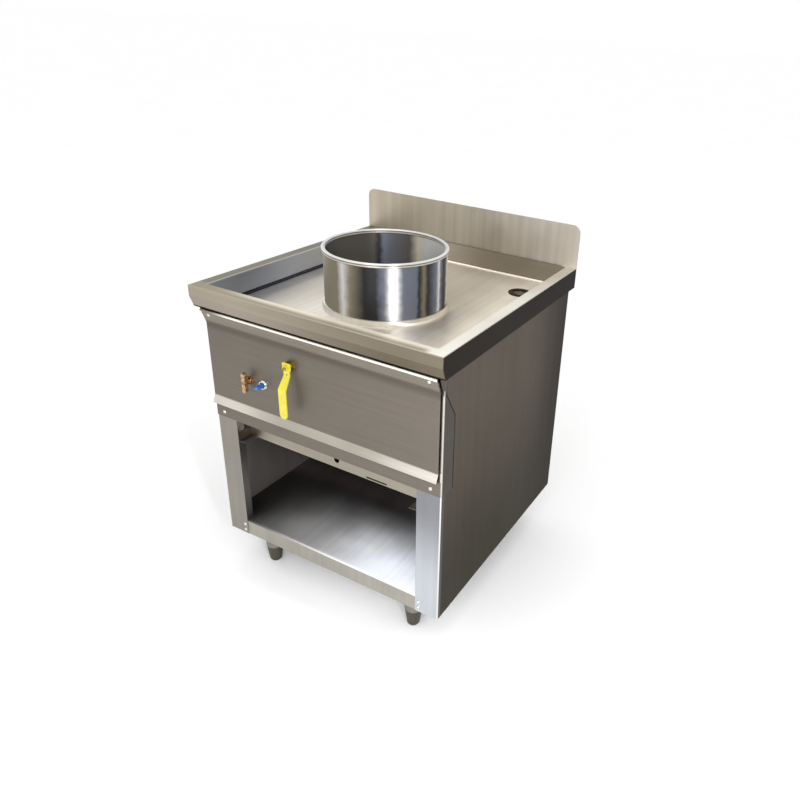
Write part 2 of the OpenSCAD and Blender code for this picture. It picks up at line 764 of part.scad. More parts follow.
module pilot_burner() {
    reach = norm(spark_pos - pilot_pos);
    aim = atan2(spark_pos[1] - pilot_pos[1], spark_pos[0] - pilot_pos[0]);
    color([0.70, 0.55, 0.28]) translate([pilot_pos[0], pilot_pos[1], pilot_base_z]) {
        cylinder(h = 8, r = tube_r + 2);
        difference() {
            translate([0, 0, 7]) cylinder(h = 20, r = 7);
            translate([0, 0, 18]) rotate(pilot_angle) translate([-20, -1.5, 0]) cube([20, 3, 20]);
        }
        rotate(aim) translate([0, 0, 3]) linear_extrude(3) difference() {
            union() {
                translate([0, -4]) square([reach, 8]);
                translate([reach, 0]) circle(ceramic_r + 4);
            }
            translate([reach, 0]) circle(ceramic_r + hole_clear);
        }
    }
}
module spark_electrode() {
    ceramic_top_z = pilot_base_z + 12;
    color([0.92, 0.90, 0.85]) translate([spark_pos[0], spark_pos[1], 0]) {
        translate([0, 0, ceramic_low_z]) cylinder(h = ceramic_top_z - ceramic_low_z, r = ceramic_r);
        translate([0, 0, ceramic_top_z - 1]) cylinder(h = spark_wire, r = 1.2);
    }
}
module ignition_lead() {
    color([0.15, 0.15, 0.15])
        pipe_run([[igniter_x, igniter_back + terminal_len, small_z], [igniter_x, spark_pos[1], small_z],
                  [spark_pos[0], spark_pos[1], small_z], [spark_pos[0], spark_pos[1], ceramic_low_z]],
                 lead_r, lead_bend_r);
}
module igniter_body() {
    color([0.10, 0.10, 0.11]) difference() {
        union() {
            bar_y([igniter_x, small_z], panel_in, igniter_back, 11);
            bar_y([igniter_x, small_z], igniter_front, igniter_back, igniter_neck_r);
            bar_y([igniter_x, small_z], igniter_back, igniter_back + terminal_len, lead_r + 1);
        }
        bar_y([igniter_x, small_z], igniter_front - 1, button_back + button_travel + 2,
              button_r + run_clear);
    }
}
module igniter_bezel() {
    color([0.85, 0.85, 0.86]) translate([igniter_x, panel_front, small_z]) rotate([90, 0, 0])
        rotate_extrude()
            polygon([[igniter_neck_r + hole_clear, 0], [14, 0], [14, 4], [11.5, 8],
                     [igniter_neck_r + hole_clear, 8]]);
}
module igniter_button() {
    dome = 4;
    color([0.20, 0.42, 0.78]) {
        bar_y([igniter_x, small_z], button_front + dome, button_back, button_r);
        translate([igniter_x, button_front + dome, small_z]) rotate([90, 0, 0])
            cylinder(h = dome, r1 = button_r, r2 = button_r - 2.5);
    }
}

// Cabinet
panel_path = round_path([[front + strip_y, hem_z], [panel_front, fold_z], [panel_front, band_top_z],
    [panel_front - band_out, band_low_z], [post_front - sheet_t, band_low_z],
    [post_front - sheet_t, flange_low_z]], [strip_r, fold_r, fold_r, fold_r - 1], 6);

// The sloping strip: the direction down it, the way into the cabinet, and its inner face
strip_dir = unit([panel_y - strip_y, fold_z - hem_z]);
strip_in = left(strip_dir);
strip_face = [front + strip_y, hem_z] + sheet_t * strip_in;
hem_centre = [front + strip_y, hem_z] + sheet_t / 2 * strip_in;
post_knee = strip_face + strip_dir * (post_front - strip_face[0]) / strip_dir[0];
strip_screw = [front + strip_y, hem_z] + strip_screw_down * strip_dir;
panel_screw_x = cab_in - 30;
shelf_screw_z = cab_z + shelf_screw_up;
flange_screw_z = flange_low_z + flange_screw_up;

// A dome-headed screw whose head rests at the origin, its shank along -Z
module screw(shank) {
    head_h = 3;
    translate([0, 0, -shank]) cylinder(h = shank + 1, r = screw_r);
    cylinder(h = 1, r = screw_head_r);
    translate([0, 0, 1]) cylinder(h = head_h - 1, r1 = screw_head_r, r2 = screw_head_r - 2.5);
}
module at_strip_screws() {
    slope = atan2(strip_in[1], strip_in[0]);
    for (s = [-1, 1]) translate([s * panel_screw_x, strip_screw[0], strip_screw[1]])
        rotate([90 + slope, 0, 0]) children();
}
module at_flange_screws() {
    for (s = [-1, 1]) translate([s * panel_screw_x, post_front - sheet_t, flange_screw_z])
        rotate([90, 0, 0]) children();
}
module at_shelf_screws() {
    for (s = [-1, 1], z = [shelf_screw_z, shelf_screw_z + shelf_screw_step])
        translate([s * (post_in + 10), post_front, z]) rotate([90, 0, 0]) children();
}
module screw_hole() {
    translate([0, 0, -12]) cylinder(h = 24, r = screw_hole_r, $fn = 32);
}
// A cheek along the right side, with its narrow front flange and clipped upper corner
module cheek() {
    plan = round_path([[cheek_x - cheek_front, post_front - sheet_t], [cheek_x, post_front - sheet_t],
                       [cheek_x, cheek_back]], [corner_r], 6);
    y0 = post_front - 10;
    top = fold_z + cheek_top;
    intersection() {
        translate([0, 0, flange_low_z]) linear_extrude(top - flange_low_z)
            polygon(sheet_outline(plan, sheet_t));
        along_x(cab_in - cheek_front - 5, cheek_front + 20)
            polygon([[y0, flange_low_z], [cheek_back, flange_low_z], [cheek_back, fold_z - cheek_clip],
                     [post_front + 2, top], [y0, top]]);
    }
}
module control_panel() {
    flange_end = cheek_x - corner_r;
    color([0.62, 0.59, 0.55]) difference() {
        union() {
            along_x(-panel_end, 2 * panel_end) polygon(sheet_outline(panel_path, sheet_t));
            translate([-panel_end, hem_centre[0], hem_centre[1]]) rotate([0, 90, 0])
                cylinder(h = 2 * panel_end, r = hem_r, $fn = 32);
            box([-flange_end, post_front - sheet_t, flange_low_z],
                [flange_end, post_front, band_low_z - fold_r]);
            cheek();
            mirror([1, 0, 0]) cheek();
        }
        bar_y([valve_x, valve_z], panel_front - 5, panel_in + 5, bonnet_r + hole_clear);
        bar_y([igniter_x, small_z], panel_front - 5, panel_in + 5, igniter_neck_r + hole_clear);
        bar_y([pilot_x, small_z], panel_front - 5, panel_in + 5, cock_neck_r + hole_clear);
        at_strip_screws() screw_hole();
        at_flange_screws() screw_hole();
    }
}
// The right corner post: front face with a rounded outer fold, a tab behind the strip, a return
module post() {
    tab_down = 6;
    tab_gap = 0.05;
    tab_end = cab_x - corner_r;
    plan = round_path([[post_in, post_front], [cab_x, post_front], [cab_x, post_front + post_leg]],
                      [post_corner_r], 6);
    tab_top = strip_face + tab_down * strip_dir + tab_gap * strip_in;
    tab = [[post_front, flange_low_z], [post_front, post_knee[1]], tab_top];
    difference() {
        union() {
            translate([0, 0, cab_z]) linear_extrude(post_knee[1] - 5 - cab_z)
                polygon(sheet_outline(plan, sheet_t));
            along_x(post_in, tab_end - post_in) polygon(sheet_outline(tab, -sheet_t));
            box([post_in, post_front + sheet_t / 2, shelf_z],
                [post_in + sheet_t, post_front + post_return, flange_low_z]);
        }
        at_strip_screws() screw_hole();
        at_flange_screws() screw_hole();
        at_shelf_screws() screw_hole();
    }
}
module post_left() { color([0.66, 0.64, 0.60]) mirror([1, 0, 0]) post(); }
module post_right() { color([0.80, 0.81, 0.82]) post(); }
module side_panel(x) {
    color([0.47, 0.44, 0.42])
        box([x, post_front + post_leg, cab_z], [x + sheet_t, side_rear, rim_z - sheet_t]);
}
module side_panel_left() { side_panel(-cab_x); }
module side_panel_right() { side_panel(cab_in); }
module back_panel() {
    slot_w = 90;
    slot_h = 8;
    slot_pitch = 22;
    color([0.66, 0.65, 0.63]) difference() {
        box([-cab_in, back_in, cab_z], [cab_in, back_y, deck_under]);
        bar_y([pilot_x, valve_z], back_in - 5, back_y + 5, inlet_r + hole_clear);
        for (col = [-1 : 1], row = [0 : 3])
            translate([col * 150, back_in + sheet_t / 2, valve_z - 60 - row * slot_pitch])
                cube([slot_w, 10, slot_h], center = true);
    }
}
module bottom_shelf() {
    lip_y = post_front + sheet_t;
    side = round_path([[lip_y, cab_z], [lip_y, shelf_z], [back_in, shelf_z], [back_in, cab_z]],
                      [lip_fold_r, fold_r], 6);
    color([0.82, 0.84, 0.86]) difference() {
        union() {
            along_x(-cab_in, 2 * cab_in) polygon(sheet_outline(side, -sheet_t));
            for (x = [-cab_in, cab_in - sheet_t]) along_x(x, sheet_t) polygon(side);
        }
        for (x = [-cab_in, cab_in]) translate([x, lip_y, cab_z + shelf_lip / 2])
            cube([2 * corner_relief, 2 * corner_relief, shelf_lip + 2], center = true);
        at_shelf_screws() screw_hole();
    }
}
module drip_tray() {
    slot_x = 152;
    slot_w = 68;
    slot_h = 5;
    color([0.72, 0.71, 0.68]) difference() {
        union() {
            box([-tray_half, tray_front, tray_z], [tray_half, tray_back, tray_z + tray_wall]);
            box([-tray_half, tray_front, tray_z], [tray_half, tray_front + sheet_t, tray_z + tray_lip]);
        }
        box([-tray_half + sheet_t, tray_front + sheet_t, tray_z + sheet_t],
            [tray_half - sheet_t, tray_back - sheet_t, tray_z + tray_lip + 1]);
        bar_y([finger_x, tray_z + finger_up], tray_front - 5, tray_front + 5, finger_r);
        translate([slot_x, tray_front, tray_z + 6]) cube([slot_w, 10, slot_h], center = true);
    }
}
module tray_runner(s) {
    top = tray_z - rest_gap;
    x_out = s < 0 ? -post_in : post_in - sheet_t;
    x_leg = s < 0 ? -post_in : post_in - runner_leg;
    color([0.60, 0.60, 0.60]) {
        box([x_out, post_front + sheet_t, top - sheet_t], [x_out + sheet_t, back_in, top + runner_h]);
        box([x_leg, post_front + sheet_t, top - sheet_t], [x_leg + runner_leg, back_in, top]);
    }
}
module tray_runner_left() { tray_runner(-1); }
module tray_runner_right() { tray_runner(1); }
module deck_bearer(y) {
    low = [-cab_in, y - bearer_w / 2, deck_under - bearer_h];
    high = [cab_in, y + bearer_w / 2, deck_under];
    color([0.60, 0.60, 0.60]) difference() {
        box(low, high);
        box(low + [-1, sheet_t, -1], high - [-1, sheet_t, sheet_t]);
    }
}
bearer_reach = opening_r + hearth_flange + bearer_w / 2 + bearer_gap;
module deck_bearer_front() { deck_bearer(axis_y - bearer_reach); }
module deck_bearer_rear() { deck_bearer(axis_y + bearer_reach); }

// Drain in the deck
drain_seat = 3;
drain_neck_r = spigot_r + 4;
module drain_body() {
    bore = spigot_r - 3;
    color([0.55, 0.54, 0.52]) translate([drain_x, front + drain_y, deck_z]) rotate_extrude()
        polygon([[spigot_r + 1, 2], [drain_flange_r, 2], [drain_flange_r, 0], [drain_neck_r, 0],
                 [drain_neck_r, -drain_neck_len], [spigot_r, -drain_neck_len],
                 [spigot_r, -spigot_len], [bore, -spigot_len],
                 [bore, -drain_seat], [spigot_r + 1, -drain_seat]]);
}
module drain_nut() {
    color([0.50, 0.50, 0.50]) translate([drain_x, front + drain_y, deck_under - 14]) difference() {
        cylinder(h = 14, r = drain_neck_r + 9, $fn = 6);
        translate([0, 0, -1]) cylinder(h = 16, r = drain_neck_r + hole_clear);
    }
}
module drain_strainer() {
    disc_r = spigot_r + 1 - hole_clear;
    color([0.62, 0.61, 0.59]) translate([drain_x, front + drain_y, deck_z - drain_seat])
        linear_extrude(2) difference() {
            circle(disc_r);
            circle(2.4);
            for (ring = [[6, 8], [12, 14]], i = [0 : ring[0] - 1])
                rotate(i * 360 / ring[0]) translate([ring[1], 0]) circle(2.4);
        }
}

// Feet
module at_feet() {
    for (x = [-foot_x, foot_x], y = [front + foot_y, foot_rear_y]) translate([x, y, 0]) children();
}
module leg_sockets() {
    top = shelf_z - sheet_t;
    color([0.60, 0.60, 0.60]) at_feet() difference() {
        union() {
            translate([0, 0, leg_z]) cylinder(h = top - leg_z - 1, r = socket_r);
            translate([0, 0, top - socket_plate_t / 2])
                cube([socket_plate, socket_plate, socket_plate_t], center = true);
        }
        translate([0, 0, leg_z - 1])
            cylinder(h = top - leg_z - socket_plate_t + 1, r = stem_r + run_clear);
    }
}
module foot() {
    stem_top = shelf_z - sheet_t - socket_plate_t - 2;
    color([0.34, 0.33, 0.32]) rotate_extrude()
        polygon([[0, 0], [foot_tip_r - 4, 0], [foot_tip_r, 6], [foot_r, shoulder_z - 8],
                 [foot_r, shoulder_z], [stem_r, shoulder_z], [stem_r, stem_top], [0, stem_top]]);
}
module foot_front_left() { translate([-foot_x, front + foot_y, 0]) foot(); }
module foot_front_right() { translate([foot_x, front + foot_y, 0]) foot(); }
module foot_rear_left() { translate([-foot_x, foot_rear_y, 0]) foot(); }
module foot_rear_right() { translate([foot_x, foot_rear_y, 0]) foot(); }

// Fasteners
module panel_screws() {
    color([0.83, 0.82, 0.80]) {
        at_strip_screws() screw(8);
        at_flange_screws() screw(8);
    }
}
module shelf_screws() {
    color([0.83, 0.82, 0.80]) at_shelf_screws() screw(8);
}

worktop();
deck();
splashback();
wok_ring();
hearth();
burner_spider();
burner_bowl();
burner_crown();
mixing_tube();
air_shutter();
injector();
feed_pipe();
inlet_pipe();
valve_body();
valve_panel_nut();
valve_stem();
valve_lever();
lever_nut();
pilot_cock_body();
pilot_cock_nut();
pilot_cock_wing();
pilot_supply_tube();
pilot_tube();
pilot_burner();
spark_electrode();
ignition_lead();
igniter_body();
igniter_bezel();
igniter_button();
control_panel();
post_left();
post_right();
side_panel_left();
side_panel_right();
back_panel();
bottom_shelf();
drip_tray();
tray_runner_left();
tray_runner_right();
deck_bearer_front();
deck_bearer_rear();
drain_body();
drain_nut();
drain_strainer();
leg_sockets();
foot_front_left();
foot_front_right();
foot_rear_left();
foot_rear_right();
panel_screws();
shelf_screws();
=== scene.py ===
"""Looks of the wok range: a finish for each sheet, casting and fitting, a few folds and coves, the floor, the
light and the camera."""
import math

import bmesh
import bpy
from mathutils import Matrix, Vector


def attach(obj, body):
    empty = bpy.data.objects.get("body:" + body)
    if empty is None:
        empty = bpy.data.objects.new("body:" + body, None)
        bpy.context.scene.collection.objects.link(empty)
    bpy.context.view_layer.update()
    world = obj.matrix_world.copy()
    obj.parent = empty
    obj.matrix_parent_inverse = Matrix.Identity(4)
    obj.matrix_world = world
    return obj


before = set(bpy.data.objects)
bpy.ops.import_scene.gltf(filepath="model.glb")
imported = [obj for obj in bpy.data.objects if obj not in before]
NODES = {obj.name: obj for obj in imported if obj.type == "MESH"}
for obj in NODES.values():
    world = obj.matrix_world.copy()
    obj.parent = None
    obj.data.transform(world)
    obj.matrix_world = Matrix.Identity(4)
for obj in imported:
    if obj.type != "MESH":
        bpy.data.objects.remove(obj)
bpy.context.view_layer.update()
MM = 0.001
BASE_BODY = "cabinet"


def box_of(name):
    """The lowest and the highest corner of a CAD node."""
    places = [vertex.co for vertex in NODES[name].data.vertices]
    return [Vector([pick(place[i] for place in places) for i in range(3)]) for pick in (min, max)]


WORKTOP_LOW, WORKTOP_HIGH = box_of("worktop")
PAN_LOW, PAN_HIGH = box_of("deck")
PANEL_LOW, PANEL_HIGH = box_of("control_panel")
RING_LOW, RING_HIGH = box_of("wok_ring")
SIDE_LOW = box_of("side_panel_right")[0]
SHELF_HIGH = box_of("bottom_shelf")[1]

# Heights of the folds, from the edges of their sheets
NOSE_FOOT = WORKTOP_HIGH.z - 64 * MM
HEM_FOOT = PANEL_HIGH.z - 9 * MM
STRIP_FOLD = PANEL_HIGH.z - 45 * MM
BAND_TOP = PANEL_LOW.z + 74 * MM
BAND_FOOT = PANEL_LOW.z + 48 * MM

# The ways that a face can look, some of them along a bend or a slope
FRONT = (0, -1, 0)
RIGHT = (1, 0, 0)
TOP = (0, 0, 1)
NOSE_EDGE = (0, -0.707, 0.707)
NOSE_SLOPE = (0, -0.936, -0.351)
CORNER = (0.707, -0.707, 0)

# A face begins to take the tone of a way at about 32 degrees off it, and has all of it from about 11 degrees
FACING_START = 0.85
FACING_FULL = 0.98

# The ways in which a tone runs, one of them square to the clipped edge of a cheek
ACROSS = (1, 0, 0)
DEEP = (0, 1, 0)
UP = (0, 0, 1)
CLIP = (0, 0.858, 0.513)

# How brushing smears a reflection: the axis of the tangent and its turn.
# Lines that run level round the cabinet smear upright, lines that run upright smear level.
UPRIGHT_SMEAR = ("Z", 0.25)
LEVEL_SMEAR = ("Z", 0.0)
DEPTH_SMEAR = ("X", 0.0)


# Shader helpers

def linear(hex_colour):
    """An sRGB hex colour as linear RGBA."""
    channels = [int(hex_colour[i:i + 2], 16) / 255 for i in (1, 3, 5)]
    rgb = [c / 12.92 if c <= 0.04045 else ((c + 0.055) / 1.055) ** 2.4 for c in channels]
    return (*rgb, 1.0)


def plug(tree, node, inputs):
    """Sets a shader node's sockets, each to a value or to a link."""
    for socket, value in inputs.items():
        if isinstance(value, bpy.types.NodeSocket):
            tree.links.new(value, node.inputs[socket])
        else:
            node.inputs[socket].default_value = value


def add(tree, kind, inputs=None, **settings):
    """Adds one shader node. settings are its properties, inputs its sockets' values or links."""
    node = tree.nodes.new(kind)
    for key, value in settings.items():
        setattr(node, key, value)
    plug(tree, node, inputs or {})
    return node


def new_material(name):
    """A material with only its output and a Principled shader, as (material, tree, shader)."""
    material = bpy.data.materials.new(name)
    material.use_nodes = True
    tree = material.node_tree
    tree.nodes.clear()
    shader = add(tree, "ShaderNodeBsdfPrincipled")
    add(tree, "ShaderNodeOutputMaterial", {"Surface": shader.outputs["BSDF"]})
    return material, tree, shader


def per_metre(size_mm):
    """The texture scale at which a noise cell is about this many millimetres wide."""
    return 1.0 / (size_mm * MM)


# Real brushing is finer than a pixel, so its lines are drawn a few millimetres wide, enough to show
LEVEL_LINES = (per_metre(350), per_metre(350), per_metre(6))
UPRIGHT_LINES = (per_metre(26), per_metre(26), per_metre(900))
DEPTH_LINES = (per_metre(14), per_metre(500), per_metre(500))

# A noise texture seldom leaves this range
NOISE_LOW = 0.3
NOISE_HIGH = 0.7


# Finishes

def brushed_stainless(name, tint, tones=(), rough=0.30, smear=UPRIGHT_SMEAR, pull=0.6, cloud=0.06,
                      lines=LEVEL_LINES, line_depth=0.05, film=1.0):
    """Stainless sheet, belt-brushed along one axis. The brushing leaves faint lines and pulls reflections out
    across them, handling leaves cloudy patches, and thin sheet is never quite flat, so reflections bend.
    Tones paint light and shade on the sheet. They are (colour, facing, runs): the faces that look one way, or
    all faces if facing is None, take the colour where every run (way, start, end), in metres, has come in.
    A film below 1 is a film of grease that dulls the sheet at a glancing angle."""
    patch_mm = 180
    swell_mm = 300
    swell_height = 6 * MM
    swell_strength = 0.15
    material, tree, shader = new_material(name)
    coords = add(tree, "ShaderNodeTexCoord")
    place = coords.outputs["Object"]
    patches = add(tree, "ShaderNodeTexNoise", {"Vector": place, "Scale": per_metre(patch_mm), "Detail": 3.0,
                                               "Roughness": 0.5})
    swell = add(tree, "ShaderNodeTexNoise", {"Vector": place, "Scale": per_metre(swell_mm), "Detail": 0.0})
    drawn = add(tree, "ShaderNodeMapping", {"Vector": place, "Scale": lines})
    brush = add(tree, "ShaderNodeTexNoise", {"Vector": drawn.outputs["Vector"], "Scale": 1.0, "Detail": 3.0})

    base = linear(tint)
    for colour, facing, *runs in tones:
        masks = []
        if facing:
            turned = add(tree, "ShaderNodeVectorMath", {0: coords.outputs["Normal"], 1: facing},
                         operation="DOT_PRODUCT")
            faced = add(tree, "ShaderNodeMapRange", {"Value": turned.outputs["Value"],
                                                     "From Min": FACING_START, "From Max": FACING_FULL})
            masks.append(faced.outputs["Result"])
        for way, start, end in runs:
            along = add(tree, "ShaderNodeVectorMath", {0: place, 1: way}, operation="DOT_PRODUCT")
            reached = add(tree, "ShaderNodeMapRange", {"Value": along.outputs["Value"], "From Min": start,
                                                       "From Max": end}, interpolation_type="SMOOTHSTEP")
            masks.append(reached.outputs["Result"])
        share = masks[0]
        for mask in masks[1:]:
            share = add(tree, "ShaderNodeMath", {0: share, 1: mask}, operation="MULTIPLY").outputs[0]
        base = add(tree, "ShaderNodeMix", {"Factor": share, 6: base, 7: linear(colour)},
                   data_type="RGBA").outputs[2]

    cloudy = add(tree, "ShaderNodeMapRange", {"Value": patches.outputs["Fac"], "From Min": NOISE_LOW,
                                              "From Max": NOISE_HIGH, "To Min": 1 - cloud,
                                              "To Max": 1 + cloud})
    lined = add(tree, "ShaderNodeMapRange", {"Value": brush.outputs["Fac"], "From Min": NOISE_LOW,
                                             "From Max": NOISE_HIGH, "To Min": 1 - line_depth,
                                             "To Max": 1 + line_depth})
    shade = add(tree, "ShaderNodeMath", {0: cloudy.outputs["Result"], 1: lined.outputs["Result"]},
                operation="MULTIPLY")
    tinted = add(tree, "ShaderNodeMix", {"Factor": 1.0, 6: base, 7: shade.outputs[0]}, data_type="RGBA",
                 blend_type="MULTIPLY")
    dull = add(tree, "ShaderNodeMapRange", {"Value": patches.outputs["Fac"], "From Min": NOISE_LOW,
                                            "From Max": NOISE_HIGH, "To Min": rough * 0.9,
                                            "To Max": rough * 1.15})
    bent = add(tree, "ShaderNodeBump", {"Height": swell.outputs["Fac"], "Strength": swell_strength,
                                        "Distance": swell_height})
    axis, turn = smear
    tangent = add(tree, "ShaderNodeTangent", direction_type="RADIAL", axis=axis)
    plug(tree, shader, {"Base Color": tinted.outputs[2], "Roughness": dull.outputs["Result"],
                        "Normal": bent.outputs["Normal"], "Tangent": tangent.outputs["Tangent"],
                        "Specular Tint": (film, film, film, 1), "Anisotropic": pull,
                        "Anisotropic Rotation": turn, "Metallic": 1.0})
    return material


# Tones of the reflections painted on the ring
DARK = "#403f40"
GREY = "#7f7a73"
WARM = "#a59d89"
COOL = "#9096a6"
PALE = "#f8f0e2"
BRIGHT = "#ffffff"

# Where they lie round the ring: (share of a turn, counted from the left, tone)
RING_STREAKS = (
    (0.04, GREY), (0.10, DARK), (0.14, WARM), (0.215, WARM), (0.235, BRIGHT), (0.255, WARM),
    (0.295, DARK), (0.325, DARK), (0.345, COOL), (0.357, BRIGHT), (0.376, BRIGHT), (0.39, COOL),
    (0.425, COOL), (0.434, DARK), (0.447, WARM), (0.460, DARK), (0.492, COOL), (0.504, BRIGHT),
    (0.512, COOL), (0.528, DARK), (0.545, DARK), (0.565, BRIGHT), (0.72, BRIGHT), (0.755, PALE),
    (0.78, GREY), (0.855, COOL), (0.868, DARK), (0.884, GREY))
# The same up its rolled edge, by share of the roll's height: painted shade in a crease, two painted highlight
# lines and a duller one between them
BEAD_LINES = (
    (0.0, DARK), (0.18, PALE), (0.45, PALE), (0.55, GREY), (0.66, GREY), (0.76, BRIGHT), (1.0, BRIGHT))


def polished_ring():
    """A spun stainless ring with painted reflections: upright streaks painted dark and pale, a slightly wavy
    wall that is duller inside, and a rolled edge with painted highlight lines."""
    ragged_mm = 22
    wander = 0.006
    wave_mm = 60
    wave_height = 3 * MM
    wave_strength = 0.15
    rough_inside = 0.75
    rough_outside = 0.48
    middle_y = (RING_LOW.y + RING_HIGH.y) / 2
    wall_r = RING_HIGH.x - 6.5 * MM
    roll_z = RING_HIGH.z - 12 * MM
    material, tree, shader = new_material("ring_polished")
    place = add(tree, "ShaderNodeTexCoord").outputs["Object"]
    centred = add(tree, "ShaderNodeMapping", {"Vector": place, "Location": (0, -middle_y, 0)})
    angle = add(tree, "ShaderNodeTexGradient", {"Vector": centred.outputs["Vector"]}, gradient_type="RADIAL")
    ragged = add(tree, "ShaderNodeTexNoise", {"Vector": place, "Scale": per_metre(ragged_mm), "Detail": 3.0})
    shift = add(tree, "ShaderNodeMapRange", {"Value": ragged.outputs["Fac"], "To Min": -wander,
                                             "To Max": wander})
    share = add(tree, "ShaderNodeMath", {0: angle.outputs["Fac"], 1: shift.outputs["Result"]},
                operation="ADD")
    streaks = add(tree, "ShaderNodeValToRGB", {"Fac": share.outputs[0]})
    height = add(tree, "ShaderNodeSeparateXYZ", {"Vector": place})
    up_roll = add(tree, "ShaderNodeMapRange", {"Value": height.outputs["Z"], "From Min": roll_z,
                                               "From Max": RING_HIGH.z})
    # Painted highlight lines and painted shade up the rolled edge
    painted_bead_lines = add(tree, "ShaderNodeValToRGB", {"Fac": up_roll.outputs["Result"]})
    for ramp, stops in ((streaks, RING_STREAKS), (painted_bead_lines, BEAD_LINES)):
        elements = ramp.color_ramp.elements
        for element, (position, colour) in zip(elements, (stops[0], stops[-1])):
            element.position = position
            element.color = linear(colour)
        for position, colour in stops[1:-1]:
            elements.new(position).color = linear(colour)
    on_roll = add(tree, "ShaderNodeMapRange", {"Value": height.outputs["Z"], "From Min": roll_z - MM,
                                               "From Max": roll_z})
    base = add(tree, "ShaderNodeMix", {"Factor": on_roll.outputs["Result"], 6: streaks.outputs["Color"],
                                       7: painted_bead_lines.outputs["Color"]}, data_type="RGBA")
    wavy = add(tree, "ShaderNodeTexNoise", {"Vector": place, "Scale": per_metre(wave_mm), "Detail": 1.0})
    bent = add(tree, "ShaderNodeBump", {"Height": wavy.outputs["Fac"], "Strength": wave_strength,
                                        "Distance": wave_height})
    level = add(tree, "ShaderNodeMapping", {"Vector": centred.outputs["Vector"], "Scale": (1, 1, 0)})
    radius = add(tree, "ShaderNodeVectorMath", {0: level.outputs["Vector"]}, operation="LENGTH")
    dull = add(tree, "ShaderNodeMapRange", {"Value": radius.outputs["Value"], "From Min": wall_r - MM,
                                            "From Max": wall_r + MM, "To Min": rough_inside,
                                            "To Max": rough_outside})
    axis, turn = UPRIGHT_SMEAR
    tangent = add(tree, "ShaderNodeTangent", direction_type="RADIAL", axis=axis)
    plug(tree, shader, {"Base Color": base.outputs[2], "Roughness": dull.outputs["Result"],
                        "Normal": bent.outputs["Normal"], "Tangent": tangent.outputs["Tangent"],
                        "Anisotropic": 1.0, "Anisotropic Rotation": turn, "Metallic": 1.0})
    return material


def mottled(name, tint, tint_2, rough, metallic, cell_mm=18, bump=0.05, coat=0.0):
    """A surface of one stuff whose colour wanders between two close tones: castings, coatings,
    machined brass and moulded plastic. The bump is the skin left by the mould, tool or brush."""
    skin_mm = 1.6
    skin_height = 0.2 * MM
    material, tree, shader = new_material(name)
    place = add(tree, "ShaderNodeTexCoord").outputs["Object"]
    patches = add(tree, "ShaderNodeTexNoise", {"Vector": place, "Scale": per_metre(cell_mm), "Detail": 5.0})
    skin = add(tree, "ShaderNodeTexNoise", {"Vector": place, "Scale": per_metre(skin_mm), "Detail": 2.0})
    blend = add(tree, "ShaderNodeMapRange", {"Value": patches.outputs["Fac"], "From Min": 0.35,
                                             "From Max": 0.65})
    base = add(tree, "ShaderNodeMix", {"Factor": blend.outputs["Result"], 6: linear(tint),
                                       7: linear(tint_2)}, data_type="RGBA")
    dull = add(tree, "ShaderNodeMapRange", {"Value": patches.outputs["Fac"], "From Min": NOISE_LOW,
                                            "From Max": NOISE_HIGH, "To Min": rough * 0.85,
                                            "To Max": rough * 1.2})
    relief = add(tree, "ShaderNodeBump", {"Height": skin.outputs["Fac"], "Strength": bump,
                                          "Distance": skin_height})
    plug(tree, shader, {"Base Color": base.outputs[2], "Roughness": dull.outputs["Result"],
                        "Normal": relief.outputs["Normal"], "Metallic": metallic, "Coat Weight": coat})
    return material


def dress(material, *names):
    """Gives the CAD nodes of these names one material."""
    for name in names:
        mesh = NODES[name].data
        mesh.materials.clear()
        mesh.materials.append(material)


# Sheets whose painted light and shade change along them. The starts and ends of the runs are places in the
# frame, in metres.

def worktop_finish():
    """Worktop, painted with light and shade: a land painted a dull grey, painted pale along the inner edge of
    the front and on the right as painted highlight, a nose painted darker to the right and towards its foot
    as painted shade with a painted shadow line at its foot, a painted cool reflection on the pan's left wall,
    painted light on the pan's rear wall and a skirt painted dark as shade."""
    on_nose = (DEEP, WORKTOP_LOW.y + 20 * MM, WORKTOP_LOW.y + 10 * MM)
    on_front_land = (DEEP, PAN_LOW.y + 10 * MM, PAN_LOW.y - 3 * MM)
    on_right_land = (ACROSS, PAN_HIGH.x - 25 * MM, PAN_HIGH.x + MM)
    on_skirt = (ACROSS, WORKTOP_HIGH.x - 20 * MM, WORKTOP_HIGH.x - 10 * MM)
    in_pan = (ACROSS, 0.30, 0.20)
    to_pan = (DEEP, WORKTOP_LOW.y + 6 * MM, PAN_LOW.y - 8 * MM)
    nose_line = (UP, NOSE_FOOT + 6 * MM, NOSE_FOOT + 3 * MM)
    return brushed_stainless("worktop_stainless", "#c9c4bb", rough=0.42, film=0.6, tones=[
        # Painted cool reflection on the pan's left wall, lighter to the rear
        ("#b1b8c6", RIGHT, in_pan),
        ("#bec2ca", RIGHT, in_pan, (DEEP, -0.20, 0.20)),
        # Painted shade: the right skirt is dark, darker still to the rear
        ("#342f2b", RIGHT, on_skirt),
        ("#25211d", RIGHT, on_skirt, (DEEP, -0.10, 0.40)),
        # Painted light and shade on the land, with a painted highlight along the front land's inner edge and
        # on the right land
        ("#9a9689", TOP),
        ("#b3ab99", TOP, on_front_land),
        ("#fff4e2", TOP, on_front_land, to_pan, (ACROSS, -0.34, -0.12)),
        ("#fffaf0", TOP, on_right_land),
        # Painted shade on the nose, darker to the right
        ("#b9b19f", NOSE_EDGE, on_nose),
        ("#aca492", FRONT, on_nose),
        ("#938a7a", FRONT, on_nose, (ACROSS, -0.05, 0.38)),
        # Painted light on the pan's rear wall
        ("#fff6e6", FRONT, (DEEP, 0.30, 0.35)),
        # Painted shade on the nose's slope, darker to the right, with a painted shadow line at its foot
        ("#aba193", NOSE_SLOPE),
        ("#766d5d", NOSE_SLOPE, (ACROSS, -0.25, 0.30)),
        ("#1c1915", NOSE_SLOPE, nose_line)])


